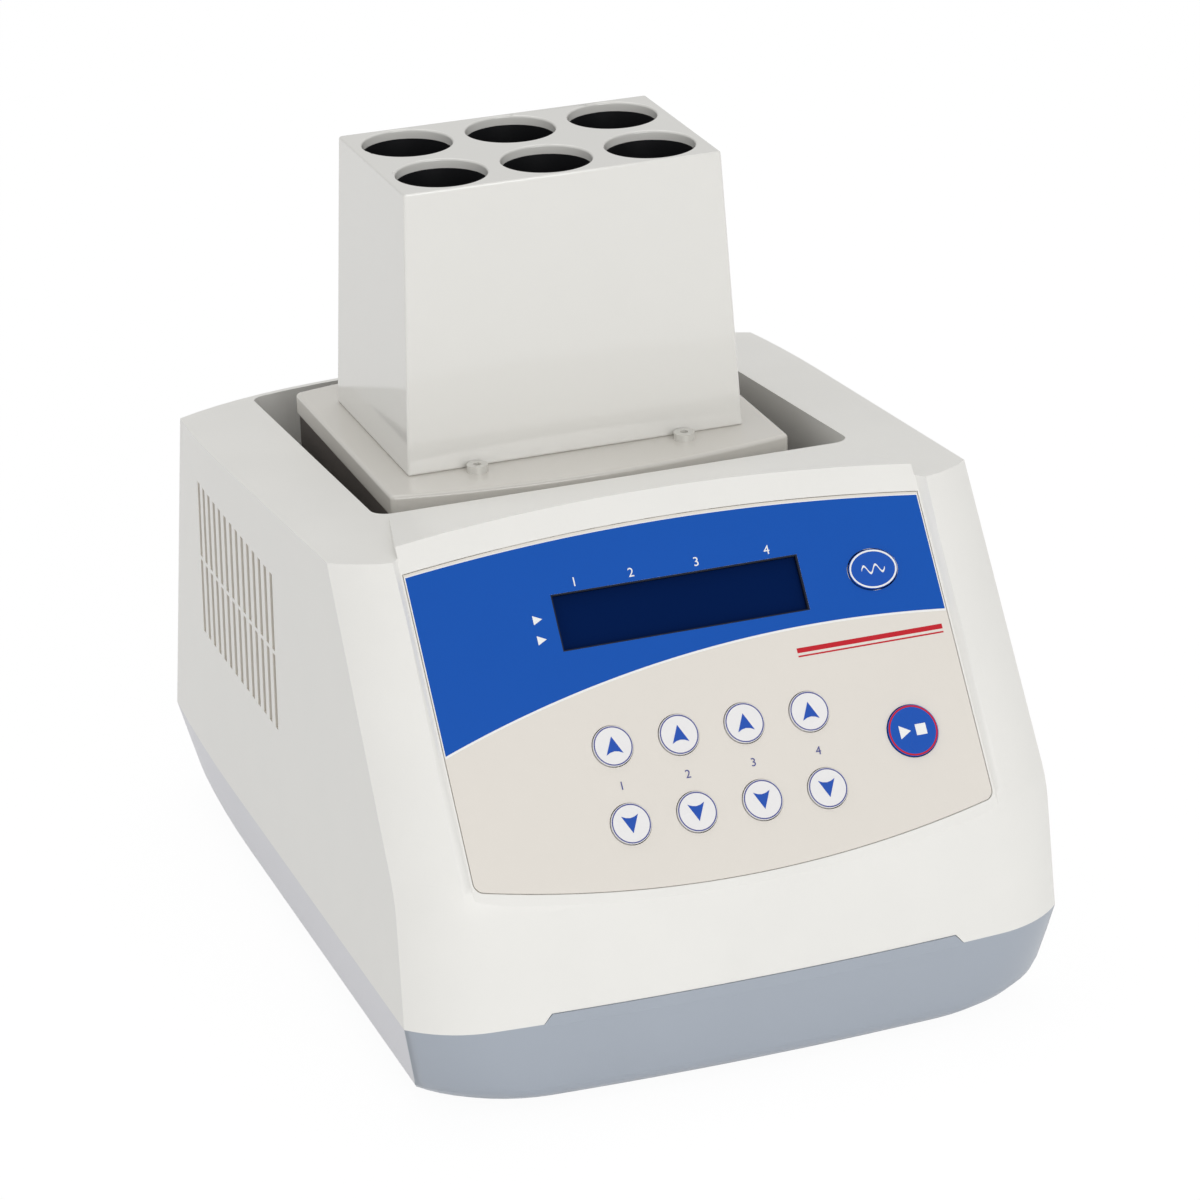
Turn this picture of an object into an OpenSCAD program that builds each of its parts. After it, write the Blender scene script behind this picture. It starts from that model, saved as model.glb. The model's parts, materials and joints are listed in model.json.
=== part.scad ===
// Bench thermal mixer with a six-place block for 50 mL tubes.
// Origin: centre of the footprint on the bench. +X right, +Y to the rear, +Z up. Millimetres.

/* [Body] */
// Width across the seam between cover and base
body_w = 221; // [219:0.1:222]
// Depth across the seam between cover and base, at the middle
body_d = 308; // [306:1:310]
// Height of the seam above the bench
seam_z = 32.4; // [32:0.1:33]
// Height of the cover's top at its front corners
top_z = 163.3; // [163:0.1:164]
// Fall of the cover's top towards the rear, in degrees
top_fall = 4.56; // [4:0.1:5]
// Wall thickness of the cover and the base
wall = 3; // [2.6:0.1:3.4]

/* [Front panel] */
// Angle of the panel from the horizontal
panel_angle = 54; // [53:0.5:55]
// Width of the panel film
panel_w = 173.6; // [172:0.1:175]
// Key radius of the eight arrow keys
key_r = 6.5; // [5.5:0.1:6.6]
// Key travel
key_travel = 0.5; // [0.3:0.1:0.5]
// Width of the display window
lcd_w = 82.8; // [80:0.1:84]
// Height of the display window
lcd_h = 18.2; // [17:0.1:19]

/* [Tube block] */
// Distance between neighbouring wells
well_pitch = 36.2; // [35.6:0.1:36.4]
// Radius of a well, for a 50 mL tube
well_r = 14.9; // [14.6:0.05:15]
// Height of the block's top above the bench
block_top_z = 254; // [250:1:258]
// Block cover width and depth at its top
block_top = [109.4, 71];
// Block cover width and depth at its foot
block_foot = [117.8, 78.9];

/* [Drive] */
// Radius of the shaking circle
orbit_r = 1.5; // [1:0.25:1.75]
// Running clearance between a pin and its bearing
run_gap = 0.04; // [0.02:0.01:0.08]
// Fan size
fan_size = 60; // [60]

/* [Hidden] */
$fn = 48;
eps = 0.01;

// body outline
half_w = body_w / 2;
front_y = -body_d / 2;
rear_y = body_d / 2;
side_draft = 0.0175;          // inward lean of each side per mm of height
rear_draft = 0.176;           // forward lean of the rear wall per mm of height, at its middle
tail_draft = 0.208;           // and at its corners
front_angle = 55.5;           // slope of the front face from the horizontal
front_top_y = -87.3;          // middle of the front face at the height top_z
front_bow_r = 1000;           // the front bows out a little in plan
kick_angle = 82.5;            // steep strip under the slope
kick_r = 25;                  // round between the two
nose = [38, 28.3];            // front corner arcs in plan: radius, reach along X
tail_y = 136;                 // rear corners at the seam
tail_power = 3.1;             // the rear curves forward with this power of x
tail_inset = 2.5;             // the sides draw in by this much behind taper_y
taper_y = 55;
flat_r = 1e5;                 // bow radius of a front that is straight in plan
top_cut_z = 172;              // above every point of the sloped top
fall_tan = tan(top_fall);
top_ref_y = -64.8;            // where the top plane stands at top_z - 0.5
function top_at(y) = top_z - 0.5 - fall_tan * (y - top_ref_y);

// panel plane
panel_y = -111.1;
panel_z = 119.3;
film_t = 1.0;
floor_n = -4.05;              // inner face of the wall behind the panel
film_top_mid = 55.0;          // film's upper edge: arc, middle and ends
film_top_end = 49.6;
film_low_mid = -62.4;         // film's lower edge: arc, middle and ends
film_low_end = -52.4;
film_corner_r = 3.5;          // its two lower corners
band_end = 58.8;              // upper edge of the band above the film
band_mid = 64.3;
band_half = 87.6;
brow_half = 87.3;
brow_rear_half = 76;
lcd_at = [0, 26.5];
lcd_seat_n = -2.6;            // the window sits below the film
key_x = [-33, -11, 11, 33];
key_row_up = -15.1;
key_row_down = -40.2;
start_at = [65.5, -27];
start_r = 8.4;
pulse_at = [65.5, 26.8];
pulse_a = 8.2;
pulse_b = 6.5;
key_gap = 0.3;

// opening in the top, and what stands in it
block_y = 39;
open_front = -32;
open_left = [-80, -77.1];     // left edge at the front and at the rear
open_right = [84.9, 82.5];
open_rim = 2.6;               // rim left between the opening and the rear wall
open_r = 6;
collar_z = 124;
collar_t = 2.5;
plate_top_z = 159;
plate_t = 8;
plate_half = 69.5;
plate_end = 54;               // half depth at the corners
plate_bow = 8;                // how far the front and rear edges bow out
jacket_z = 118;               // underside of the foam jacket below the plate
jacket_in = [121, 97];        // its hollow

// heights of the stack, from the wells down
core_bottom_z = 150;
core_top_z = block_top_z - 3.2;
cone_top_z = 172;
well_bottom_z = 158;
spreader_t = 6;
peltier_t = 3.8;
spreader_z = core_bottom_z - spreader_t;
peltier_z = spreader_z - peltier_t;
sink_base_t = 5;
sink_z = peltier_z - sink_base_t;
fin_h = 25;
platform_top_z = 104;
platform_t = 8;
platform_z = platform_top_z - platform_t;
column_at = [64.5, 46];
column_r = 3;
screw_at = [36.3, 43.4];

// drive
shaft_y = block_y - orbit_r;
deck_z = 50;
deck_t = 3;
idler_at = [50, 44];
post_top_z = 74;
web_z = 76;
web_top_z = 82;
bearing_mid_r = 13;           // outer radius of the platform's centre bearing
pin_r = 5;
shaft_r = 6;
idler_r = 4;

// fan on the left side
fan_x = -103;
fan_t = 15;
fan_at = [37, 105];           // y, z of the fan's axis

// rear connector pocket
pocket = [[-60, 42], [40, 76]];
plate_y = 137;
inlet_at = [-30, 59];
rocker_at = [18, 59];
rocker_tilt = 9;

// ---------- outlines ----------

function flip(list) = [for (i = [len(list) - 1:-1:0]) list[i]];

// right half of the plan outline, from the front's middle round to the rear's
function half_outline(hw, yf, yr, yc, bow_r, arc) =
  let (
    r = arc[0], cx = hw - arc[1], first = asin(cx / (bow_r - r)), last = asin(arc[1] / r),
    cy = yf + bow_r - (bow_r - r) * cos(first), xe = hw - tail_inset)
  concat(
    [for (i = [0:7]) let (a = first * i / 8) [bow_r * sin(a), yf + bow_r * (1 - cos(a))]],
    [for (i = [0:9]) let (a = first + (last - first) * i / 9) [cx + r * sin(a), cy - r * cos(a)]],
    [for (i = [0:3]) let (t = i / 4) [hw - tail_inset * t * t, taper_y + (yc - taper_y) * t]],
    [for (i = [0:12]) [xe * (1 - i / 12), rear_curve(xe * (1 - i / 12), hw, yr, yc)]]);

function rear_curve(x, hw, yr, yc) = yr - (yr - yc) * pow(abs(x) / (hw - tail_inset), tail_power);

// plan outline: half width, front and rear at the middle, rear at the corners
module plan_outline(hw, yf, yr, yc, bow_r = front_bow_r, arc = nose) {
  right = half_outline(hw, yf, yr, yc, bow_r, arc);
  polygon(concat(right, [for (p = flip(right)) if (p[0] > eps) [-p[0], p[1]]]));
}

module plan_slice(z, hw, yf, yr, yc, bow_r = front_bow_r, arc = nose)
  translate([0, 0, z]) linear_extrude(eps) plan_outline(hw, yf, yr, yc, bow_r, arc);

function side_at(z) = half_w - (z - seam_z) * side_draft;
function rear_at(z) = rear_y - (z - seam_z) * rear_draft;
function tail_at(z) = tail_y - (z - seam_z) * tail_draft;
function slope_at(z) = front_top_y - (top_z - z) / tan(front_angle);

// vertex and centre of the round between the slope and the kick strip
kick_z = (front_y - seam_z / tan(kick_angle) - front_top_y + top_z / tan(front_angle))
  / (1 / tan(front_angle) - 1 / tan(kick_angle));
kick_y = slope_at(kick_z);
kick_turn = kick_angle - front_angle;
kick_c = [
  kick_y + kick_r * (sin(front_angle) + sin(kick_angle)) / (1 + cos(kick_turn)),
  kick_z - kick_r * (cos(front_angle) + cos(kick_angle)) / (1 + cos(kick_turn))
];

function panel_plane_y(z) = panel_y + (z - panel_z) / tan(panel_angle);

// thin bow: chord ends at w_end, middle at w_mid
function bow(half, w_end, w_mid, steps = 16) =
  let (s = w_mid - w_end, r = (half * half + s * s) / (2 * abs(s)), a = asin(half / r), d = sign(s))
  [for (i = [-steps:steps]) let (t = a * i / steps)
    [r * sin(t), w_mid - d * r * (1 - cos(t))]];

module on_panel() translate([0, panel_y, panel_z]) rotate([panel_angle, 0, 0]) children();

module film_shape(grow) {
  half = panel_w / 2 + grow;
  polygon(concat(
    bow(half, film_low_end - grow, film_low_mid - grow),
    flip(bow(half, film_top_end + grow, film_top_mid + grow))));
}

module film_outline(grow = 0) {
  offset(r = film_corner_r) offset(delta = -film_corner_r) film_shape(grow);
  intersection() {
    film_shape(grow);
    translate([-panel_w, 0]) square([2 * panel_w, panel_w]);
  }
}

module rounded_rect(w, d, r) {
  square([w - 2 * r, d], center = true);
  square([w, d - 2 * r], center = true);
  for (sx = [-1, 1], sy = [-1, 1])
    translate([sx * (w / 2 - r), sy * (d / 2 - r)]) circle(r);
}

module oval(a, b) {
  spread = a - b;
  square([2 * spread, 2 * b], center = true);
  for (s = [-1, 1]) translate([s * spread, 0]) circle(b);
}

module ring(ro, ri, h) difference() {
  cylinder(r = ro, h = h);
  translate([0, 0, -1]) cylinder(r = ri, h = h + 2);
}

module four_corners(x, y) for (sx = [-1, 1], sy = [-1, 1]) translate([sx * x, sy * y, 0]) children();

module key_holes(gap) {
  for (x = key_x, y = [key_row_up, key_row_down]) translate([x, y]) circle(key_r + gap);
  translate(start_at) circle(start_r + gap);
  translate(pulse_at) oval(pulse_a + gap, pulse_b + gap);
}

// ---------- housing ----------

vent_rows = [[108.1, 28], [80.1, 27.5]];   // bottom and height of each row
vent_count = 14;
vent_pitch = 6.85;
vent_w = 3;
vent_rear_y = 83.6;

module vents(side)
  for (row = vent_rows, i = [0:vent_count - 1])
    translate([side * (half_w - 3) - 8, vent_rear_y - i * vent_pitch - vent_w / 2, row[0]])
      cube([16, vent_w, row[1] - 0.8]);

boss_at = [[-94, -112], [94, -112], [-94, 112], [94, 112]];
boss_r = 5;

module under_top(drop) translate([0, top_ref_y, top_z - 0.5 - drop]) rotate([-top_fall, 0, 0])
  translate([-200, -200, -260]) cube([400, 500, 260]);

module cover_body() intersection() {
  hull() {
    plan_slice(seam_z, half_w, front_y, rear_y, tail_y);
    for (t = [0, 0.33, 0.67, 1]) {
      a = kick_angle - kick_turn * t;
      z = kick_c[1] + kick_r * cos(a);
      plan_slice(z, side_at(z), kick_c[0] - kick_r * sin(a), rear_at(z), tail_at(z));
    }
    plan_slice(top_cut_z, side_at(top_cut_z), slope_at(top_cut_z), rear_at(top_cut_z), tail_at(top_cut_z));
  }
  under_top(0);
}

module cover_outside() {
  cover_body();
  // brow between the opening and the panel
  hull() {
    on_panel() translate([0, 0, -1]) linear_extrude(1.5)
      polygon(concat(bow(brow_half, band_end, band_mid), [[brow_half, 44], [-brow_half, 44]]));
    translate([-brow_rear_half, open_front - 3, top_at(open_front) - 8]) cube([2 * brow_rear_half, 2, 8]);
  }
}

module cover_inside() intersection() {
  hull() {
    plan_slice(seam_z - 1, half_w - wall, front_y + wall + 1, rear_y - wall, tail_y - wall);
    for (z = [69, top_cut_z])
      plan_slice(z, side_at(z) - wall, panel_plane_y(z) + 5, rear_at(z) - wall, tail_at(z) - wall, flat_r);
  }
  under_top(wall);
}

// opening in the top; its rear edge runs along the rear wall
module open_outline(grow = 0) offset(r = open_r + grow) offset(delta = -open_r) {
  z = top_at(rear_at(top_z));
  polygon(concat(
    [[open_left[0], open_front], [open_right[0], open_front]],
    [for (i = [12:-1:0]) let (x = open_left[1] + (open_right[1] - open_left[1]) * i / 12)
      [x, rear_curve(x, side_at(z), rear_at(z), tail_at(z)) - open_rim]]));
}

module pocket_block(grow, y0, y1)
  translate([pocket[0][0] - grow, y0, pocket[0][1] - grow])
    cube([pocket[1][0] - pocket[0][0] + 2 * grow, y1 - y0, pocket[1][1] - pocket[0][1] + 2 * grow]);

module top_cover() color([0.93, 0.925, 0.90]) {
  difference() {
    union() {
      difference() {
        cover_outside();
        cover_inside();
      }
      // collar round the opening
      intersection() {
        translate([0, 0, collar_z]) linear_extrude(60) open_outline(collar_t);
        cover_body();
      }
      // walls of the rear connector pocket
      intersection() {
        pocket_block(wall, plate_y, rear_y);
        hull() {
          plan_slice(seam_z, half_w, front_y, rear_y, tail_y);
          plan_slice(100, side_at(100), front_y, rear_at(100), tail_at(100));
        }
      }
      // pillars for the key board, and bosses for the cover screws
      on_panel() {
        for (p = board_pillars) translate([p[0], p[1], board_top_n])
          cylinder(r = 2.5, h = floor_n - board_top_n + 0.5);
        for (p = lcd_pillars) translate([p[0], p[1], lcd_board_n])
          cylinder(r = 2, h = floor_n - lcd_board_n + 0.5);
      }
      for (p = boss_at) {
        translate([p[0], p[1], seam_z]) cylinder(r = boss_r, h = 30);
        translate([p[0] + (p[0] > 0 ? 0 : -14), p[1] - 1.25, seam_z + 3]) cube([14, 2.5, 24]);
      }
    }
    // opening through the top
    translate([0, 0, collar_z - 1]) linear_extrude(70) open_outline();
    // recess over the panel, its side walls splayed outwards
    on_panel() rotate([90, 0, 0]) translate([0, 0, -90]) linear_extrude(170)
      polygon([[-band_half, 0], [band_half, 0], [band_half + 17, 20], [-band_half - 17, 20]]);
    // seat of the film, and what passes through it
    on_panel() translate([0, 0, -film_t]) linear_extrude(film_t + 2) film_outline(0.3);
    on_panel() translate([0, 0, -8]) linear_extrude(9) key_holes(key_gap);
    on_panel() translate(lcd_at) {
      translate([0, 0, -8]) linear_extrude(9) square([lcd_w - 2, lcd_h - 2], center = true);
      translate([0, 0, lcd_seat_n]) linear_extrude(4) square([lcd_w + 0.2, lcd_h + 0.2], center = true);
    }
    for (side = [-1, 1]) vents(side);
    pocket_block(0, plate_y - 1, rear_y + 1);
    // notch over the base's front step
    step_shape(0.15);
    for (p = boss_at) translate([p[0], p[1], seam_z - 1]) cylinder(r = 1.6, h = 25);
    on_panel() {
      for (p = board_pillars) translate([p[0], p[1], board_top_n - 1]) cylinder(r = 1.2, h = 4.5);
      for (p = lcd_pillars) translate([p[0], p[1], lcd_board_n - 1]) cylinder(r = 0.9, h = 4.5);
    }
  }
}

step_x = 1.5;
step_half = 68;
step_slant = 2.7;
step_h = 3;
module step_shape(grow) {
  foot = step_half + step_slant + grow;
  head = step_half + grow;
  translate([step_x, front_y + wall + 5, seam_z - 1]) rotate([90, 0, 0]) linear_extrude(wall + 8)
    polygon([
      [-foot, 0], [-foot, 1], [-head, 1 + step_h + grow],
      [head, 1 + step_h + grow], [foot, 1], [foot, 0]]);
}

tray_floor_z = 6;
tray_low_z = 3;
foot_at = [[-80, -98], [80, -98], [-80, 88], [80, 88]];
foot_stem_r = 4;
pillar_at = [[-86, -88], [86, -88], [-86, 100], [86, 100]];

// rounded lower edge: height, how far sides, front and rear draw in, and the arc of the front corners
tray_rows = [
  [23, 1.8, 1.1, 6, [39, 30]], [12, 4, 2.5, 13, [41, 32.5]], [9, 4.6, 2.9, 16.5, [42, 34]],
  [6, 6.2, 4.3, 21, [44, 37]], [4, 8.6, 6.3, 25, [46, 39]], [tray_low_z, 12, 9.5, 29, [47, 40]]
];

module tray_slice(z, side_in, front_in, rear_in, arc = nose)
  plan_slice(z, half_w - side_in, front_y + front_in, rear_y - rear_in, tail_y - rear_in, arc = arc);

module base_tray() color([0.63, 0.67, 0.72]) difference() {
  union() {
    difference() {
      hull() {
        plan_slice(seam_z - eps, half_w, front_y, rear_y, tail_y);
        for (row = tray_rows) tray_slice(row[0], row[1], row[2], row[3], row[4]);
      }
      hull() {
        tray_slice(seam_z, wall, wall, wall);
        tray_slice(14, 4 + wall, 2.5 + wall, 13 + wall, [40, 32]);
        tray_slice(tray_floor_z, 10, 10, 28, [42, 35]);
      }
    }
    for (p = boss_at) translate([p[0], p[1], tray_floor_z - 0.5])
      cylinder(r = boss_r, h = seam_z - tray_floor_z + 0.5);
    // raised step along the front edge
    intersection() {
      step_shape(0);
      translate([0, 0, seam_z - 1]) linear_extrude(step_h + 2) difference() {
        plan_outline(half_w, front_y, rear_y, tail_y);
        plan_outline(half_w - wall, front_y + wall, rear_y - wall, tail_y - wall);
      }
    }
  }
  for (p = boss_at) {
    translate([p[0], p[1], 0]) cylinder(r = 2, h = seam_z + 1);
    translate([p[0], p[1], 0]) cylinder(r = 3.6, h = 20);
  }
  for (p = foot_at) translate([p[0], p[1], 0]) cylinder(r = foot_stem_r, h = 10);
  for (p = pillar_at) translate([p[0], p[1], tray_floor_z - 2]) cylinder(r = 2, h = 5);
}

module feet() color([0.16, 0.16, 0.17]) for (p = foot_at) translate([p[0], p[1], 0]) {
  cylinder(r1 = 8, r2 = 9, h = 1);
  translate([0, 0, 1]) cylinder(r = 9, h = tray_low_z - 1);
  translate([0, 0, tray_low_z]) cylinder(r = foot_stem_r, h = tray_floor_z - tray_low_z);
}

module cover_screws() color([0.72, 0.72, 0.74]) for (p = boss_at) translate([p[0], p[1], 0]) {
  translate([0, 0, 17]) difference() {
    cylinder(r = 3.2, h = 3);
    translate([-2.6, -0.5, -1]) cube([5.2, 1, 2]);
  }
  translate([0, 0, 20]) cylinder(r = 1.6, h = 30);
}

// ---------- control panel ----------

board_top_n = -8.5;
board_pillars = [[-50, -9], [-50, -50], [76, -50], [76, 34], [22, -28]];
lcd_pillars = [[-49.5, 12], [49.5, 12], [-49.5, 41], [49.5, 41]];
lcd_board_n = floor_n - 5.5;

module panel_overlay() color([0.91, 0.89, 0.86]) on_panel() translate([0, 0, -film_t])
  linear_extrude(film_t) difference() {
    film_outline();
    key_holes(key_gap);
    translate(lcd_at) square([lcd_w + 0.2, lcd_h + 0.2], center = true);
  }

module display_window() color([0.02, 0.09, 0.30]) on_panel() translate([lcd_at[0], lcd_at[1], lcd_seat_n])
  linear_extrude(0.7) square([lcd_w, lcd_h], center = true);

module display_module() on_panel() translate([lcd_at[0], lcd_at[1], 0]) {
  color([0.12, 0.12, 0.13]) translate([0, 0, lcd_board_n]) linear_extrude(5.4) rounded_rect(93, 30, 1);
  color([0.10, 0.35, 0.20]) difference() {
    translate([0, 0, lcd_board_n - 1.6]) linear_extrude(1.6) square([104, 36], center = true);
    for (p = lcd_pillars) translate([p[0] - lcd_at[0], p[1] - lcd_at[1], lcd_board_n - 3])
      cylinder(r = 1, h = 4);
  }
}

module key_board() color([0.10, 0.35, 0.20]) on_panel() translate([0, 0, board_top_n - 1.6]) difference() {
  linear_extrude(1.6)
    polygon([[-64, -54], [80, -54], [80, 38], [54, 38], [54, -5], [-64, -5]]);
  for (p = board_pillars) translate([p[0], p[1], -1]) cylinder(r = 1.3, h = 4);
}

switch_places = concat(
  [for (x = key_x) [x, key_row_up]], [for (x = key_x) [x, key_row_down]], [start_at, pulse_at]);

module key_switches() color([0.15, 0.15, 0.16]) on_panel() for (p = switch_places)
  translate([p[0], p[1], board_top_n]) {
    translate([-3, -3, 0]) cube([6, 6, 1.5]);
    cylinder(r = 1.7, h = 2.1);
  }

module small_screw(p, n, r_head, r) translate([p[0], p[1], n - 1.6]) {
  translate([0, 0, -1.4]) cylinder(r = r_head, h = 1.4);
  cylinder(r = r, h = 1.6 + 3);
}

module board_screws() color([0.72, 0.72, 0.74]) on_panel() {
  for (p = board_pillars) small_screw(p, board_top_n, 2.4, 1.2);
  for (p = lcd_pillars) small_screw(p, lcd_board_n, 1.8, 0.9);
}

key_low_n = -5.6;
key_flange_n = -4.5;
key_top_n = 0.45;

module key_cap(p, r) color([0.93, 0.92, 0.90]) on_panel() translate([p[0], p[1], 0]) {
  translate([0, 0, key_low_n]) cylinder(r = r + 1.5, h = key_flange_n - key_low_n);
  translate([0, 0, key_flange_n]) cylinder(r = r, h = key_top_n - key_flange_n);
  translate([0, 0, key_top_n]) cylinder(r1 = r, r2 = r - 0.35, h = 0.25);
}

module key_pulse() color([0.08, 0.34, 0.72]) on_panel() translate([pulse_at[0], pulse_at[1], 0]) {
  translate([0, 0, key_low_n]) linear_extrude(key_flange_n - key_low_n) oval(pulse_a + 1.5, pulse_b + 1.5);
  translate([0, 0, key_flange_n]) linear_extrude(key_top_n + 0.1 - key_flange_n) oval(pulse_a, pulse_b);
}

// ---------- tube block ----------

module frustum(size_low, z_low, size_high, z_high) hull() {
  translate([-size_low[0] / 2, -size_low[1] / 2, z_low]) cube([size_low[0], size_low[1], eps]);
  translate([-size_high[0] / 2, -size_high[1] / 2, z_high - eps]) cube([size_high[0], size_high[1], eps]);
}

function block_size(z) = let (t = (z - plate_top_z) / (block_top_z - plate_top_z))
  block_foot + (block_top - block_foot) * t;

module at_wells() for (i = [-1:1], j = [-0.5, 0.5]) translate([i * well_pitch, j * well_pitch, 0]) children();

cover_wall = 1.7;
block_gap = 0.2;

module block_cover() color([0.90, 0.90, 0.88]) translate([0, block_y, 0]) difference() {
  frustum(block_foot, plate_top_z, block_top, block_top_z);
  inside_low = block_size(plate_top_z) - [2, 2] * cover_wall;
  inside_high = block_size(core_top_z) - [2, 2] * cover_wall;
  frustum(inside_low, plate_top_z - eps, inside_high, core_top_z);
  at_wells() translate([0, 0, core_top_z - 2]) cylinder(r = well_r + 0.2, h = 10);
}

module block_core() color([0.07, 0.07, 0.08]) translate([0, block_y, 0]) difference() {
  union() {
    frustum(block_size(plate_top_z + 1) - [2, 2] * (cover_wall + block_gap), plate_top_z + 1,
      block_size(core_top_z) - [2, 2] * (cover_wall + block_gap), core_top_z);
    translate([-53, -33.5, core_bottom_z]) cube([106, 67, plate_top_z + 1 - core_bottom_z]);
  }
  at_wells() {
    translate([0, 0, cone_top_z]) cylinder(r = well_r, h = 200);
    translate([0, 0, well_bottom_z]) cylinder(r1 = 3.5, r2 = well_r, h = cone_top_z - well_bottom_z);
  }
}

module plate_outline(half, end, bow_out)
  polygon(concat(bow(half, -end, -end - bow_out, 10), flip(bow(half, end, end + bow_out, 10))));

module carrier_plate() color([0.80, 0.80, 0.77]) translate([0, block_y, 0]) difference() {
  union() {
    translate([0, 0, plate_top_z - plate_t]) linear_extrude(plate_t)
      plate_outline(plate_half, plate_end, plate_bow);
    four_corners(screw_at[0], screw_at[1]) translate([0, 0, core_bottom_z])
      cylinder(r = 4.5, h = plate_top_z - plate_t - core_bottom_z);
  }
  translate([0, 0, core_bottom_z]) linear_extrude(20) square([106.6, 67.6], center = true);
  four_corners(screw_at[0], screw_at[1]) translate([0, 0, core_bottom_z - 1]) cylinder(r = 1.7, h = 20);
}

module plate_screws() color([0.78, 0.78, 0.78]) translate([0, block_y, 0])
  four_corners(screw_at[0], screw_at[1]) {
    translate([0, 0, plate_top_z]) difference() {
      cylinder(r = 3.5, h = 2.4);
      translate([0, 0, 1]) cylinder(r = 1.5, h = 2, $fn = 6);
    }
    translate([0, 0, spreader_z + 1]) cylinder(r = 1.5, h = plate_top_z - spreader_z - 1);
  }

// ---------- heating and cooling stack ----------

module heat_spreader() color([0.78, 0.79, 0.80]) translate([0, block_y, spreader_z]) difference() {
  translate([-60, -48, 0]) cube([120, 96, spreader_t]);
  four_corners(screw_at[0], screw_at[1]) translate([0, 0, 1]) cylinder(r = 1.5, h = 10);
  four_corners(55, 37) translate([0, 0, -1]) cylinder(r = 1.5, h = 5);
  translate([0, -50, 3]) rotate([-90, 0, 0]) cylinder(r = 1.6, h = 30);
}

module peltier_modules() color([0.92, 0.92, 0.90]) translate([0, block_y, peltier_z])
  for (s = [-1, 1]) translate([s * 24 - 20, -20, 0]) cube([40, 40, peltier_t]);

// foam round the stack, with a web between the heat sink and the spreader
module insulation_jacket() color([0.20, 0.20, 0.22]) translate([0, block_y, 0]) difference() {
  translate([0, 0, jacket_z]) linear_extrude(plate_top_z - plate_t - jacket_z)
    plate_outline(plate_half - 0.9, plate_end - 0.8, plate_bow - 0.4);
  translate([0, 0, jacket_z - 1]) linear_extrude(peltier_z - jacket_z + 1) square(jacket_in, center = true);
  translate([0, 0, spreader_z]) linear_extrude(20) square(jacket_in, center = true);
  for (s = [-1, 1]) translate([s * 24 - 20.2, -20.2, peltier_z - 1]) cube([40.4, 40.4, peltier_t + 2]);
  four_corners(55, 37) translate([0, 0, peltier_z - 1]) cylinder(r = 1.8, h = peltier_t + 2);
  four_corners(column_at[0], column_at[1]) translate([0, 0, jacket_z - 1])
    cylinder(r = column_r + 0.2, h = 50);
  translate([0, -48, spreader_z + 3]) rotate([90, 0, 0]) cylinder(r = 2.6, h = 5);
}

module heat_sink() color([0.70, 0.71, 0.73]) translate([0, block_y, sink_z]) difference() {
  union() {
    translate([-60, -42, 0]) cube([120, 84, sink_base_t]);
    for (i = [-8:8]) translate([i * 6 - 0.8, -42, -fin_h]) cube([1.6, 84, fin_h + 1]);
  }
  four_corners(55, 37) translate([0, 0, -1]) cylinder(r = 1.8, h = sink_base_t + 2);
}

module sink_screws() color([0.72, 0.72, 0.74]) translate([0, block_y, sink_z]) four_corners(55, 37) {
  translate([0, 0, -3]) cylinder(r = 3, h = 3);
  cylinder(r = 1.5, h = sink_base_t + peltier_t + 3);
}

module temp_sensor() color([0.72, 0.72, 0.74]) translate([0, block_y - 48, spreader_z + 3])
  rotate([-90, 0, 0]) {
    translate([0, 0, -4]) cylinder(r = 2.4, h = 4);
    cylinder(r = 1.6, h = 26);
  }

module platform_columns() color([0.80, 0.80, 0.82]) translate([0, block_y, platform_top_z])
  four_corners(column_at[0], column_at[1]) cylinder(r = column_r, h = plate_top_z - plate_t - platform_top_z);

// ---------- drive ----------

module drive_platform() color([0.74, 0.75, 0.77]) translate([0, block_y, platform_z]) difference() {
  translate([0, 0, 0]) linear_extrude(platform_t) rounded_rect(146, 112, 8);
  translate([0, 0, -1]) cylinder(r = bearing_mid_r, h = platform_t + 2);
  four_corners(idler_at[0], idler_at[1]) {
    translate([0, 0, -1]) cylinder(r = 8, h = 6.5);
    translate([0, 0, -1]) cylinder(r = 6, h = platform_t + 2);
  }
}

module platform_bearings() color([0.62, 0.63, 0.66]) translate([0, block_y, platform_z]) {
  ring(bearing_mid_r, pin_r, platform_t);
  four_corners(idler_at[0], idler_at[1]) translate([0, 0, 0.5]) ring(8, idler_r, 5);
}

module drive_shaft() color([0.66, 0.67, 0.70]) {
  translate([0, shaft_y, 18]) cylinder(r = shaft_r - run_gap, h = 66);
  translate([0, shaft_y, 84]) cylinder(r = 9, h = 8);
  translate([0, block_y, 92]) cylinder(r = pin_r - run_gap, h = 11.5);
}

module counterweight() color([0.55, 0.50, 0.36]) translate([0, shaft_y, 84]) difference() {
  intersection() {
    cylinder(r = 34, h = 8);
    translate([-40, -40, -1]) cube([80, 44, 12]);
  }
  translate([0, 0, -1]) cylinder(r = 9, h = 12);
}

module motor_rotor() color([0.35, 0.35, 0.38]) translate([0, shaft_y, 22])
  ring(18, shaft_r - run_gap, 22);

module idler_crank(sx, sy) color([0.66, 0.67, 0.70])
  translate([sx * idler_at[0], shaft_y + sy * idler_at[1], 0]) {
    translate([0, 0, 62]) cylinder(r = idler_r - run_gap, h = web_z - 62);
    translate([0, orbit_r / 2, web_z]) cylinder(r = 8, h = web_top_z - web_z);
    translate([0, orbit_r, web_top_z]) cylinder(r = idler_r - run_gap, h = platform_top_z - 2 - web_top_z);
  }

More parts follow.
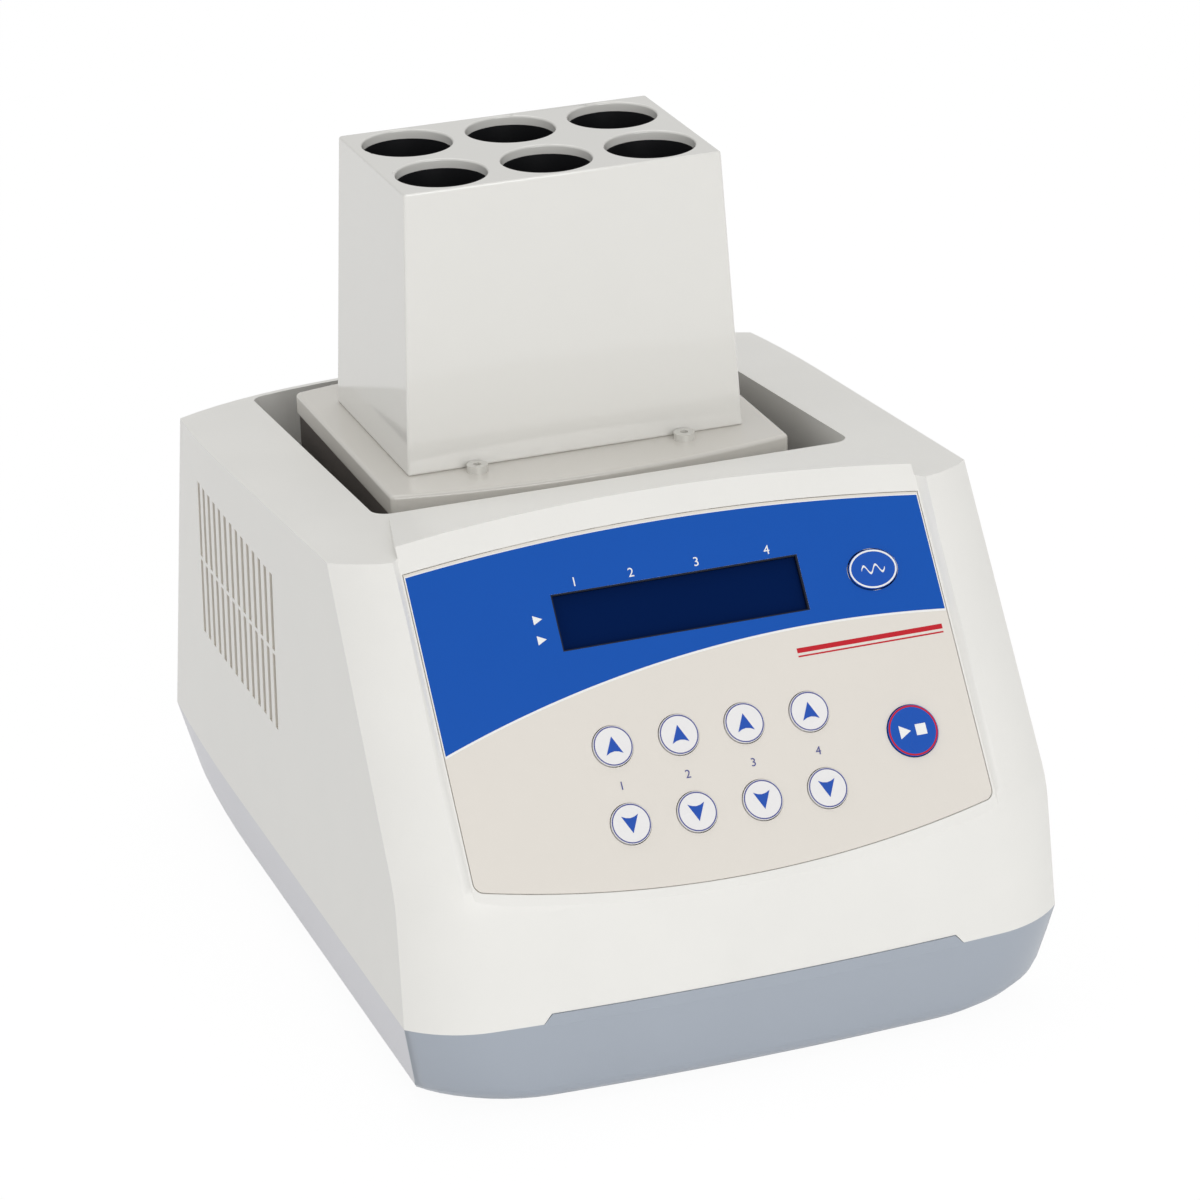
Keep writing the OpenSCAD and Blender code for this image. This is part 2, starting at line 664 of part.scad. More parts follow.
module motor_can() color([0.20, 0.20, 0.22]) translate([0, shaft_y, 16]) difference() {
  cylinder(r = 31, h = deck_z - 16);
  translate([0, 0, 3]) cylinder(r = 28, h = deck_z - 16 - 6);
  translate([0, 0, 1.5]) cylinder(r = 7, h = 50);
  for (i = [0:3]) rotate(45 + 90 * i) translate([25, 0, deck_z - 16 - 4]) cylinder(r = 1.4, h = 5);
}

module motor_stator() color([0.62, 0.36, 0.20]) translate([0, shaft_y, 21]) difference() {
  cylinder(r = 28, h = 24);
  translate([0, 0, -1]) cylinder(r = 19, h = 26);
  for (i = [0:8]) rotate(i * 40) translate([17, -1.2, -1]) cube([8, 2.4, 26]);
}

module bearing_housing() color([0.70, 0.71, 0.73]) translate([0, shaft_y, deck_z + deck_t]) difference() {
  union() {
    cylinder(r = 30, h = 5);
    cylinder(r = 19, h = 28);
  }
  translate([0, 0, -1]) cylinder(r = 7.5, h = 40);
  translate([0, 0, -1]) cylinder(r = 14, h = 9);
  translate([0, 0, 20]) cylinder(r = 14, h = 10);
  for (i = [0:3]) rotate(45 + 90 * i) translate([25, 0, -1]) cylinder(r = 1.8, h = 8);
}

module spindle_bearings() color([0.62, 0.63, 0.66]) translate([0, shaft_y, deck_z + deck_t])
  for (z = [0, 20]) translate([0, 0, z]) ring(14, shaft_r, 8);

module idler_posts() color([0.70, 0.71, 0.73]) translate([0, shaft_y, deck_z + deck_t])
  four_corners(idler_at[0], idler_at[1]) difference() {
    cylinder(r = 12, h = post_top_z - deck_z - deck_t);
    translate([0, 0, post_top_z - deck_z - deck_t - 5.5]) cylinder(r = 8, h = 10);
    translate([0, 0, 6]) cylinder(r = 5.5, h = 40);
  }

module idler_bearings() color([0.62, 0.63, 0.66]) translate([0, shaft_y, post_top_z - 5.5])
  four_corners(idler_at[0], idler_at[1]) ring(8, idler_r, 5);

module chassis_deck() color([0.75, 0.76, 0.78]) difference() {
  translate([0, 2, deck_z]) linear_extrude(deck_t) difference() {
    rounded_rect(194, 206, 10);
    translate([ribbon_x + ribbon_w / 2, -100]) rounded_rect(ribbon_w + 8, 16, 4);
  }
  translate([0, shaft_y, deck_z - 1]) cylinder(r = 8, h = 6);
  at_flange_screws() translate([0, 0, deck_z - 1]) cylinder(r = 1.5, h = 6);
  for (p = pillar_at) translate([p[0], p[1], deck_z - 1]) cylinder(r = 1.8, h = 6);
  for (y = bracket_screw_y) translate([bracket_screw_x, y, deck_z - 1]) cylinder(r = 1.4, h = 6);
}

module deck_pillars() color([0.80, 0.80, 0.82]) for (p = pillar_at) translate([p[0], p[1], tray_floor_z]) {
  translate([0, 0, -2]) cylinder(r = 2, h = 2);
  difference() {
    cylinder(r = 5, h = deck_z - tray_floor_z, $fn = 6);
    translate([0, 0, deck_z - tray_floor_z - 7]) cylinder(r = 1.5, h = 8);
  }
}

module cap_screw(r_head, h_head, r, h) {
  cylinder(r = r_head, h = h_head);
  translate([0, 0, -h]) cylinder(r = r, h = h);
}

module at_flange_screws() translate([0, shaft_y, 0]) for (i = [0:3]) rotate(45 + 90 * i)
  translate([25, 0, 0]) children();

module chassis_screws() color([0.72, 0.72, 0.74]) {
  for (p = pillar_at) translate([p[0], p[1], deck_z + deck_t]) cap_screw(3.2, 2, 1.5, deck_t + 5);
  at_flange_screws() translate([0, 0, deck_z + deck_t + 5]) cap_screw(2.8, 2, 1.4, deck_t + 5 + 2.5);
  for (y = bracket_screw_y) {
    translate([bracket_screw_x, y, deck_z + deck_t + bracket_t]) cap_screw(2.6, 1.8, 1.4, deck_t + bracket_t);
  }
  for (s = [-1, 1]) translate([fan_x + fan_t + bracket_t, fan_at[0] + s * 25, fan_at[1] - 25])
    rotate([0, 90, 0]) cap_screw(3, 1.8, 1.9, fan_t + bracket_t);
}

// ---------- fan ----------

module at_fan() translate([fan_x, fan_at[0], fan_at[1]]) rotate([0, 90, 0]) children();

module fan_frame() color([0.13, 0.13, 0.14]) at_fan() difference() {
  union() {
    difference() {
      linear_extrude(fan_t) rounded_rect(fan_size, fan_size, 4);
      translate([0, 0, -1]) cylinder(r = 28, h = fan_t + 2);
    }
    cylinder(r = 11, h = 1.5);
    for (i = [0:3]) rotate(45 + 90 * i) translate([9, -1.25, 0]) cube([21, 2.5, 1.5]);
    cylinder(r = 2, h = 8);
  }
  four_corners(25, 25) translate([0, 0, -1]) cylinder(r = 2.1, h = fan_t + 2);
}

module fan_rotor() color([0.18, 0.18, 0.19]) at_fan() difference() {
  union() {
    translate([0, 0, 2.5]) cylinder(r = 12, h = 11);
    for (i = [0:6]) rotate(i * 360 / 7) translate([11, 0, 8]) rotate([38, 0, 0])
      translate([0, -6, -0.6]) cube([15.5, 12, 1.2]);
  }
  translate([0, 0, 1]) cylinder(r = 2 + run_gap, h = 7.5);
}

bracket_t = 1.5;
bracket_w = 58;
bracket_screw_x = fan_x + 24;
bracket_screw_y = [fan_at[0] - 18, fan_at[0] + 18];

module fan_bracket() color([0.75, 0.76, 0.78]) difference() {
  translate([fan_x + fan_t, fan_at[0] - bracket_w / 2, deck_z + deck_t]) {
    cube([16, bracket_w, bracket_t]);
    cube([bracket_t, bracket_w, fan_at[1] - fan_size / 2 + 9 - deck_z - deck_t]);
  }
  for (y = bracket_screw_y) translate([bracket_screw_x, y, deck_z]) cylinder(r = 1.6, h = 8);
  for (s = [-1, 1]) translate([fan_x, fan_at[0] + s * 25, fan_at[1] - 25]) rotate([0, 90, 0])
    cylinder(r = 1.9, h = 30);
  translate([fan_x, fan_at[0], fan_at[1]]) rotate([0, 90, 0]) cylinder(r = 28, h = 30);
}

// ---------- electrics ----------

module power_supply() {
  base_at = [36, -4, tray_floor_z];
  color([0.80, 0.81, 0.82]) translate(base_at) difference() {
    cube([60, 96, 34]);
    translate([1.2, 1.2, 1.2]) cube([57.6, 93.6, 40]);
    for (i = [0:8]) translate([-1, 10 + i * 9, 8]) cube([70, 4, 20]);
  }
  color([0.10, 0.35, 0.20]) translate(base_at + [1.2, 1.2, 1.2]) cube([57.6, 93.6, 1.6]);
  color([0.85, 0.75, 0.30]) translate(base_at + [20, 34, 2.8]) cube([26, 28, 22]);
  color([0.15, 0.20, 0.35]) for (y = [16, 78]) translate(base_at + [30, y, 2.8]) cylinder(r = 8, h = 24);
}

module control_board() {
  board_at = [-96, -4, tray_floor_z];
  color([0.72, 0.72, 0.74]) for (x = [5, 50], y = [5, 90]) translate(board_at + [x, y, 0])
    cylinder(r = 2.5, h = 8, $fn = 6);
  color([0.10, 0.35, 0.20]) translate(board_at + [0, 0, 8]) cube([55, 95, 1.6]);
  color([0.12, 0.12, 0.13]) for (y = [20, 45, 66]) translate(board_at + [14, y, 9.6]) cube([14, 14, 2.2]);
  color([0.90, 0.90, 0.86]) translate(board_at + [31, 2, 9.6]) cube([22, 6, 8]);
}

// flat cable from the key board down to the control board
ribbon_t = 0.8;
ribbon_w = 18;
ribbon_x = -63;
ribbon_run = [[1, 26], [-97, 26], [-97, 58], [-123, 78.5]];

module panel_ribbon() color([0.75, 0.76, 0.78]) {
  for (i = [0:len(ribbon_run) - 2]) {
    a = ribbon_run[i];
    b = ribbon_run[i + 1];
    turn = atan2(b[1] - a[1], b[0] - a[0]);
    translate([ribbon_x, a[0], a[1]]) rotate([turn, 0, 0])
      translate([0, -ribbon_t / 2, -ribbon_t / 2]) cube([ribbon_w, norm(b - a) + ribbon_t, ribbon_t]);
  }
  translate([ribbon_x, ribbon_run[0][0] - 2.5, tray_floor_z + 17.6]) cube([ribbon_w, 5, 4]);
  on_panel() translate([ribbon_x, -43, board_top_n - 1.6 - 4.5]) cube([ribbon_w, 6, 4.5]);
}

// ---------- rear connectors ----------

module rear_plate() color([0.74, 0.75, 0.77]) difference() {
  translate([pocket[0][0] - 2.5, plate_y - 2, pocket[0][1] - 2.5])
    cube([pocket[1][0] - pocket[0][0] + 5, 2, pocket[1][1] - pocket[0][1] + 5]);
  translate([inlet_at[0] - 14, plate_y - 3, inlet_at[1] - 10.5]) cube([28, 4, 21]);
  translate([rocker_at[0] - 9.8, plate_y - 3, rocker_at[1] - 6.6]) cube([19.6, 4, 13.2]);
}

module mains_inlet() color([0.08, 0.08, 0.09]) translate([inlet_at[0], plate_y, inlet_at[1]]) difference() {
  union() {
    translate([-18.5, 0, -12.5]) cube([37, 3, 25]);
    translate([-13.8, -22, -10.3]) cube([27.6, 22, 20.6]);
  }
  // socket with its two cut upper corners
  translate([0, 4, 0]) rotate([90, 0, 0]) linear_extrude(18)
    polygon([[-12, -8], [12, -8], [12, 3.5], [7.5, 8], [-7.5, 8], [-12, 3.5]]);
}

module inlet_pins() color([0.80, 0.66, 0.30]) translate([inlet_at[0], plate_y - 14, inlet_at[1]])
  for (p = [[0, 3], [-7, -2], [7, -2]]) translate([p[0] - 1, 0, p[1] - 2]) cube([2, 12, 4]);

module power_switch_frame() color([0.09, 0.09, 0.10]) translate([rocker_at[0], plate_y, rocker_at[1]])
  difference() {
    union() {
      translate([-11.5, 0, -8]) cube([23, 2, 16]);
      translate([-9.7, -14, -6.5]) cube([19.4, 14, 13]);
    }
    translate([-8, -9, -5]) cube([16, 20, 10]);
    translate([-9.3, -1, 0]) rotate([0, 90, 0]) cylinder(r = 1 + run_gap, h = 18.6);
  }

// rocker, drawn with its lower half pressed in
module power_rocker() color([0.12, 0.12, 0.13]) translate([rocker_at[0], plate_y - 1, rocker_at[1]])
  rotate([-rocker_tilt, 0, 0]) {
    rotate([90, 0, 90]) translate([0, 0, -7.6]) linear_extrude(15.2)
      polygon([[-2.2, -4], [3.6, -4.1], [2.4, 0], [3.6, 4.1], [-2.2, 4], [-4.2, 0]]);
    translate([-9, 0, 0]) rotate([0, 90, 0]) cylinder(r = 1, h = 18);
  }

// ---------- build ----------

top_cover();
base_tray();
feet();
cover_screws();
panel_overlay();
display_window();
display_module();
key_board();
key_switches();
board_screws();
for (i = [0:3]) {
  key_cap([key_x[i], key_row_up], key_r);
  key_cap([key_x[i], key_row_down], key_r);
}
key_cap(start_at, start_r);  // key_start
key_pulse();
block_cover();
block_core();
carrier_plate();
plate_screws();
heat_spreader();
peltier_modules();
insulation_jacket();
heat_sink();
sink_screws();
temp_sensor();
platform_columns();
drive_platform();
platform_bearings();
drive_shaft();
counterweight();
motor_rotor();
idler_crank(-1, -1);  // idler_crank_1
idler_crank(1, -1);  // idler_crank_2
idler_crank(-1, 1);  // idler_crank_3
idler_crank(1, 1);  // idler_crank_4
motor_can();
motor_stator();
bearing_housing();
spindle_bearings();
idler_posts();
idler_bearings();
chassis_deck();
deck_pillars();
chassis_screws();
fan_frame();
fan_rotor();
fan_bracket();
power_supply();
control_board();
panel_ribbon();
rear_plate();
mains_inlet();
inlet_pins();
power_switch_frame();
power_rocker();
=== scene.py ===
# Bench thermal mixer: finishes, printed panel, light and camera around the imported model.
# Lengths are in mm on the pieces, and in metres for the camera, the floor and the lamps.
import json
from math import asin, cos, pi, radians, sin, sqrt

import bpy
from mathutils import Matrix, Vector

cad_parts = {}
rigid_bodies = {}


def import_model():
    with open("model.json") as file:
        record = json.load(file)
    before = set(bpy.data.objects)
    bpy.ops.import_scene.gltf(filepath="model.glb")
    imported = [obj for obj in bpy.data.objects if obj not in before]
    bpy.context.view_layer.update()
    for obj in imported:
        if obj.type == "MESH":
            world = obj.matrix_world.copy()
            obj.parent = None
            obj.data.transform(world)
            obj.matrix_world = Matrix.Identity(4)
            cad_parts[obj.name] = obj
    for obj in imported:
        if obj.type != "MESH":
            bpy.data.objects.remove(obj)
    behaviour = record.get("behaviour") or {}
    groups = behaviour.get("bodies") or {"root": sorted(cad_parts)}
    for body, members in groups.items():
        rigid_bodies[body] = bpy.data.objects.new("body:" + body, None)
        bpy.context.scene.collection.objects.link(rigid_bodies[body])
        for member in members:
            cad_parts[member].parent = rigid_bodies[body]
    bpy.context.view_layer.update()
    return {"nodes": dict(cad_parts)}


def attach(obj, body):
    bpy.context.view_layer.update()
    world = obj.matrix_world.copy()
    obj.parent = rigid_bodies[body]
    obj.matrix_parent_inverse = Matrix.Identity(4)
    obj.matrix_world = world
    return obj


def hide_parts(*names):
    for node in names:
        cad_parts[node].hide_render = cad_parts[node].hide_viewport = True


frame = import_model()
nodes = frame["nodes"]
mm = 0.001
print("model loaded:", len(nodes), "nodes")


def deselect():
    if bpy.context.object and bpy.context.object.mode != "OBJECT":
        bpy.ops.object.mode_set(mode="OBJECT")
    bpy.ops.object.select_all(action="DESELECT")


def activate(piece):
    deselect()
    piece.select_set(True)
    bpy.context.view_layer.objects.active = piece


# leaves the piece in object mode with nothing in its mesh selected
def clearMesh(piece, mode="FACE"):
    activate(piece)
    bpy.ops.object.mode_set(mode="EDIT")
    bpy.ops.mesh.select_mode(type=mode)
    bpy.ops.mesh.select_all(action="DESELECT")
    bpy.ops.object.mode_set(mode="OBJECT")


# selects the faces whose centre and normal pass the test, and opens edit mode
def selectFaces(piece, test):
    clearMesh(piece)
    for face in piece.data.polygons:
        face.select = test(face.center, face.normal)
    bpy.ops.object.mode_set(mode="EDIT")


doublePoints = 0.0001  # points this close are one, on text and flat curves


# puts a piece's place into its mesh, names it and lets it ride on a body
def settle(piece, name, body, material):
    activate(piece)
    if piece.type != "MESH":
        bpy.ops.object.convert(target="MESH")
        piece = bpy.context.object
        bpy.ops.object.mode_set(mode="EDIT")
        bpy.ops.mesh.select_all(action="SELECT")
        bpy.ops.mesh.remove_doubles(threshold=doublePoints * mm)
        bpy.ops.mesh.normals_make_consistent(inside=False)
        bpy.ops.object.mode_set(mode="OBJECT")
    bpy.ops.object.transform_apply(location=True, rotation=True, scale=True)
    piece.name = name
    piece.data.name = name
    piece.data.materials.clear()
    piece.data.materials.append(material)
    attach(piece, body)
    return piece


# rough is how matt the surface is, grain the strength of its fine relief, grainSize its size
# tint is how far the tone drifts, shine the share of mirror light, stretch a drawn-out grain
finishes = {
    "coverPlastic": {
        "colour": (0.86, 0.85, 0.815), "rough": 0.40, "grain": 0.10, "grainSize": 0.9},
    "basePlastic": {
        "colour": (0.385, 0.425, 0.485), "rough": 0.36, "grain": 0.10, "grainSize": 0.9},
    "blockGloss": {
        "colour": (0.80, 0.79, 0.755), "rough": 0.09, "grain": 0.015, "grainSize": 9.0,
        "tint": 0.01, "shine": 0.9},
    "plateGloss": {
        "colour": (0.73, 0.705, 0.655), "rough": 0.16, "grain": 0.015, "grainSize": 9.0,
        "tint": 0.01, "shine": 0.9},
    "filmBeige": {
        "colour": (0.79, 0.75, 0.69), "rough": 0.30, "grain": 0.05, "grainSize": 0.4,
        "tint": 0.01, "shine": 0.2},
    "filmWhite": {
        "colour": (0.90, 0.90, 0.89), "rough": 0.30, "grain": 0.05, "grainSize": 0.4,
        "tint": 0.01, "shine": 0.2},
    "keyWhite": {
        "colour": (0.86, 0.85, 0.85), "rough": 0.28, "grain": 0.05, "grainSize": 0.4,
        "tint": 0.01},
    "fieldBlue": {
        "colour": (0.004, 0.088, 0.45), "rough": 0.30, "grain": 0.05, "grainSize": 0.4,
        "tint": 0.02, "shine": 0.2},
    "keyBlue": {
        "colour": (0.012, 0.092, 0.47), "rough": 0.28, "grain": 0.05, "grainSize": 0.4,
        "tint": 0.02, "shine": 0.2},
    "inkBlue": {
        "colour": (0.020, 0.090, 0.46), "rough": 0.35, "grain": 0.04, "grainSize": 0.3,
        "shine": 0.2},
    "inkLine": {
        "colour": (0.090, 0.100, 0.30), "rough": 0.35, "grain": 0.04, "grainSize": 0.3,
        "shine": 0.2},
    "inkRed": {
        "colour": (0.56, 0.016, 0.028), "rough": 0.35, "grain": 0.04, "grainSize": 0.3,
        "shine": 0.2},
    "displayGlass": {
        "colour": (0.0010, 0.0115, 0.072), "rough": 0.30, "grain": 0.02, "grainSize": 4.0,
        "tint": 0.03, "shine": 0.02},
    "displayEdge": {
        "colour": (0.010, 0.014, 0.030), "rough": 0.50, "grain": 0.05, "grainSize": 0.8,
        "shine": 0.2},
    "blackPlastic": {
        "colour": (0.020, 0.020, 0.022), "rough": 0.42, "grain": 0.12, "grainSize": 0.8},
    "rubber": {
        "colour": (0.022, 0.022, 0.023), "rough": 0.75, "grain": 0.30, "grainSize": 0.6,
        "tint": 0.10},
    "foam": {
        "colour": (0.110, 0.096, 0.088), "rough": 0.90, "grain": 0.60, "grainSize": 1.2,
        "tint": 0.20},
    "blackAnodised": {
        "colour": (0.013, 0.013, 0.015), "rough": 0.42, "metal": 0.3, "grain": 0.12,
        "grainSize": 0.5},
    "circuitGreen": {
        "colour": (0.012, 0.13, 0.045), "rough": 0.32, "grain": 0.10, "grainSize": 2.5,
        "tint": 0.25},
    "ceramic": {
        "colour": (0.78, 0.78, 0.74), "rough": 0.55, "grain": 0.10, "grainSize": 0.6},
    "ribbonCable": {
        "colour": (0.42, 0.43, 0.46), "rough": 0.45, "grain": 0.9, "grainSize": 1.27,
        "stretch": (1, 0.001, 0.001)},
    "aluminium": {
        "colour": (0.66, 0.67, 0.69), "rough": 0.32, "metal": 1.0, "grain": 0.10,
        "grainSize": 0.6, "stretch": (0.04, 1, 1), "tint": 0.05},
    "steel": {
        "colour": (0.56, 0.56, 0.57), "rough": 0.27, "metal": 1.0, "grain": 0.08,
        "grainSize": 0.4, "stretch": (1, 1, 0.05), "tint": 0.05},
    "paleSteel": {
        "colour": (0.74, 0.73, 0.69), "rough": 0.34, "metal": 0.25, "grain": 0.03,
        "grainSize": 0.5},
    # a paler copy of the base plastic for its two sides: painted light
    "baseSidePaintedLight": {
        "colour": (0.66, 0.66, 0.70), "rough": 0.36, "grain": 0.10, "grainSize": 0.9},
    # a darker, warmer cover colour for the walls inside the side slots: painted shade
    "slotWallShade": {
        "colour": (0.86, 0.82, 0.74), "rough": 0.45, "grain": 0.10, "grainSize": 0.9},
    "brass": {
        "colour": (0.66, 0.47, 0.19), "rough": 0.30, "metal": 1.0, "grain": 0.08,
        "grainSize": 0.5, "tint": 0.06},
    "copperWinding": {
        "colour": (0.55, 0.22, 0.09), "rough": 0.38, "metal": 1.0, "grain": 1.0,
        "grainSize": 0.8, "stretch": (0.15, 0.15, 1), "tint": 0.15},
    "blackPaint": {
        "colour": (0.018, 0.018, 0.020), "rough": 0.38, "grain": 0.15, "grainSize": 1.4},
}
surface = {
    "driftScale": 28, "driftDetail": 4,  # waves per metre, and how finely they break up
    "glossSwing": 0.12,
    "grainDetail": 2, "reliefDepth": 0.1,
}


# moulded or machined surface: slow drift of tone and gloss, fine grain in the relief
def makeFinish(name, colour, rough, grain, grainSize,
               metal=0.0, tint=0.03, stretch=(1, 1, 1), shine=0.5):
    material = bpy.data.materials.new(name)
    material.use_nodes = True
    tree = material.node_tree
    shader = tree.nodes["Principled BSDF"]
    shader.inputs["Metallic"].default_value = metal
    shader.inputs["Specular IOR Level"].default_value = shine
    place = tree.nodes.new("ShaderNodeTexCoord")
    turn = tree.nodes.new("ShaderNodeMapping")
    turn.inputs["Scale"].default_value = stretch
    tree.links.new(place.outputs["Object"], turn.inputs["Vector"])

    drift = tree.nodes.new("ShaderNodeTexNoise")
    drift.inputs["Scale"].default_value = surface["driftScale"]
    drift.inputs["Detail"].default_value = surface["driftDetail"]
    tree.links.new(place.outputs["Object"], drift.inputs["Vector"])
    tone = tree.nodes.new("ShaderNodeMix")
    tone.data_type = "RGBA"
    tone.inputs["A"].default_value = [c * (1 - tint) for c in colour] + [1]
    tone.inputs["B"].default_value = [min(1, c * (1 + tint)) for c in colour] + [1]
    tree.links.new(drift.outputs["Fac"], tone.inputs["Factor"])
    tree.links.new(tone.outputs["Result"], shader.inputs["Base Color"])
    gloss = tree.nodes.new("ShaderNodeMapRange")
    gloss.inputs["To Min"].default_value = rough * (1 - surface["glossSwing"])
    gloss.inputs["To Max"].default_value = rough * (1 + surface["glossSwing"])
    tree.links.new(drift.outputs["Fac"], gloss.inputs["Value"])
    tree.links.new(gloss.outputs["Result"], shader.inputs["Roughness"])

    texture = tree.nodes.new("ShaderNodeTexNoise")
    texture.inputs["Scale"].default_value = 1 / (grainSize * mm)
    texture.inputs["Detail"].default_value = surface["grainDetail"]
    tree.links.new(turn.outputs["Vector"], texture.inputs["Vector"])
    relief = tree.nodes.new("ShaderNodeBump")
    relief.inputs["Strength"].default_value = min(1, grain)
    relief.inputs["Distance"].default_value = surface["reliefDepth"] * mm
    tree.links.new(texture.outputs["Fac"], relief.inputs["Height"])
    tree.links.new(relief.outputs["Normal"], shader.inputs["Normal"])
    return material


finish = {name: makeFinish(name, **values) for name, values in finishes.items()}
print("finishes made:", len(finish))


def numbered(stem):
    return ["%s_%d" % (stem, i) for i in range(1, 5)]


nodeFinish = {
    "coverPlastic": ["top_cover"],
    "basePlastic": ["base_tray"],
    "filmBeige": ["panel_overlay"],
    "displayGlass": ["display_window"],
    "blockGloss": ["block_cover"],
    "plateGloss": ["carrier_plate"],
    "blackAnodised": ["block_core"],
    "blackPlastic": ["display_module", "key_switches", "fan_frame", "fan_rotor", "mains_inlet",
                     "power_switch_frame", "power_rocker"],
    "rubber": ["feet"],
    "foam": ["insulation_jacket"],
    "circuitGreen": ["key_board", "control_board"],
    "ceramic": ["peltier_modules"],
    "ribbonCable": ["panel_ribbon"],
    "aluminium": ["heat_spreader", "heat_sink", "platform_columns", "drive_platform",
                  "bearing_housing", "idler_posts", "chassis_deck", "deck_pillars",
                  "fan_bracket", "power_supply", "rear_plate"],
    "paleSteel": ["plate_screws"],
    "steel": ["cover_screws", "board_screws", "sink_screws", "temp_sensor",
              "platform_bearings", "drive_shaft", "motor_rotor", "spindle_bearings",
              "idler_bearings", "chassis_screws"] + numbered("idler_crank"),
    "brass": ["counterweight", "inlet_pins"],
    "copperWinding": ["motor_stator"],
    "blackPaint": ["motor_can"],
    "keyWhite": numbered("key_up") + numbered("key_down"),
    "keyBlue": ["key_start", "key_pulse"],
}
for name, members in nodeFinish.items():
    for member in members:
        nodes[member].data.materials.clear()
        nodes[member].data.materials.append(finish[name])
print("finishes laid on the nodes")

# flat is the angle within which faces become one, sharp the angle from which edges are rounded
rounding = {"flat": 0.4, "sharp": 28, "segments": 4, "profile": 0.5}


# a copy of a node with rounded edges: each cut has a width and a test on an edge's two ends
# points within merge become one, faces that meet under the smooth angle shade as one, and
# clamp keeps a cut from running past the next edge
def softCopy(node, name, body, material, cuts, merge, smooth, clamp=False):
    mesh = nodes[node].data.copy()
    piece = bpy.data.objects.new(name, mesh)
    bpy.context.scene.collection.objects.link(piece)
    clearMesh(piece, "EDGE")
    bpy.ops.object.mode_set(mode="EDIT")
    bpy.ops.mesh.select_all(action="SELECT")
    bpy.ops.mesh.remove_doubles(threshold=merge * mm)
    bpy.ops.mesh.dissolve_limited(angle_limit=radians(rounding["flat"]))
    for width, where in cuts:
        bpy.ops.mesh.select_all(action="DESELECT")
        bpy.ops.mesh.edges_select_sharp(sharpness=radians(rounding["sharp"]))
        bpy.ops.object.mode_set(mode="OBJECT")
        for edge in mesh.edges:
            if edge.select:
                edge.select = where(*[mesh.vertices[v].co / mm for v in edge.vertices])
        bpy.ops.object.mode_set(mode="EDIT")
        bpy.ops.mesh.bevel(offset=width * mm, segments=rounding["segments"],
                           profile=rounding["profile"], affect="EDGES", clamp_overlap=clamp)
    bpy.ops.object.mode_set(mode="OBJECT")
    activate(piece)
    bpy.ops.object.shade_smooth_by_angle(angle=radians(smooth))
    bpy.ops.object.modifier_add(type="WEIGHTED_NORMAL")
    piece.modifiers[-1].keep_sharp = True
    bpy.ops.object.modifier_apply(modifier=piece.modifiers[-1].name)
    piece = settle(piece, name, body, material)
    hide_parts(node)
    return piece


# gives the faces that pass the test a second finish
def paint(piece, material, test):
    piece.data.materials.append(material)
    for face in piece.data.polygons:
        if test(face.center / mm, face.normal):
            face.material_index = len(piece.data.materials) - 1


# the walls inside the side slots are painted darker and warmer than the cover around them:
# painted shade for the shadow inside the slots
cover = {
    "merge": 0.002, "smooth": 16,
    "slotFrom": 99, "slotTurn": 0.5, "slotRear": (-8, 86), "slotHigh": (79, 137),
}


def insideSlot(centre, normal):
    front, rear = cover["slotRear"]
    low, high = cover["slotHigh"]
    return (abs(centre.x) > cover["slotFrom"] and abs(normal.x) < cover["slotTurn"]
            and low < centre.z < high and front < centre.y < rear)


coverShell = softCopy("top_cover", "cover_shell", "housing", finish["coverPlastic"],
                      [], cover["merge"], cover["smooth"])
paint(coverShell, finish["slotWallShade"], insideSlot)

# the base is rounded along its upper edges, and its two sides are painted paler than its
# front: painted light for the brighter light the sides catch from below
base = {
    "merge": 0.06, "smooth": 35, "round": 0.5, "roundAbove": 30, "roundLonger": 8,
    "sideFrom": 85, "sideTurn": 0.88,
}


def baseEdge(a, b):
    return min(a.z, b.z) > base["roundAbove"] and (a - b).length > base["roundLonger"]


def baseSidePaintedLight(centre, normal):
    return abs(centre.x) > base["sideFrom"] and abs(normal.x) > base["sideTurn"]


baseShell = softCopy("base_tray", "base_shell", "housing", finish["basePlastic"],
                     [(base["round"], baseEdge)], base["merge"], base["smooth"], clamp=True)
paint(baseShell, finish["baseSidePaintedLight"], baseSidePaintedLight)

# the block is rounded along its long outer edges and round its well rims
block = {
    "merge": 0.06, "smooth": 35, "side": 53,
    "edgeRound": 0.9, "edgeLonger": 20,
    "wellRound": 0.8, "wellAbove": 253.4, "wellShorter": 6,
}


def blockEdge(a, b):
    return (a - b).length > block["edgeLonger"] and min(abs(a.x), abs(b.x)) > block["side"]


def wellRim(a, b):
    return (min(a.z, b.z) > block["wellAbove"] and (a - b).length < block["wellShorter"]
            and max(abs(a.x), abs(b.x)) < block["side"])


softCopy("block_cover", "block_shell", "platform", finish["blockGloss"],
         [(block["edgeRound"], blockEdge), (block["wellRound"], wellRim)],
         block["merge"], block["smooth"])

# the plate is rounded all along its rim
plate = {"merge": 0.06, "smooth": 35, "round": 1.4, "rimX": 68.5, "rimY": 52, "middleY": 39}


def plateRim(a, b):
    return (min(abs(a.x), abs(b.x)) > plate["rimX"]
            or min(abs(a.y - plate["middleY"]), abs(b.y - plate["middleY"])) > plate["rimY"])


softCopy("carrier_plate", "plate_shell", "platform", finish["plateGloss"],
         [(plate["round"], plateRim)], plate["merge"], plate["smooth"])
print("shells rounded")

# the panel's slope, and where the middle of it stands
panel = {"tilt": radians(54), "y": -111.1, "z": 119.3}
panelTurn = (panel["tilt"], 0, 0)
panelOut = Vector((0, -sin(panel["tilt"]), cos(panel["tilt"])))


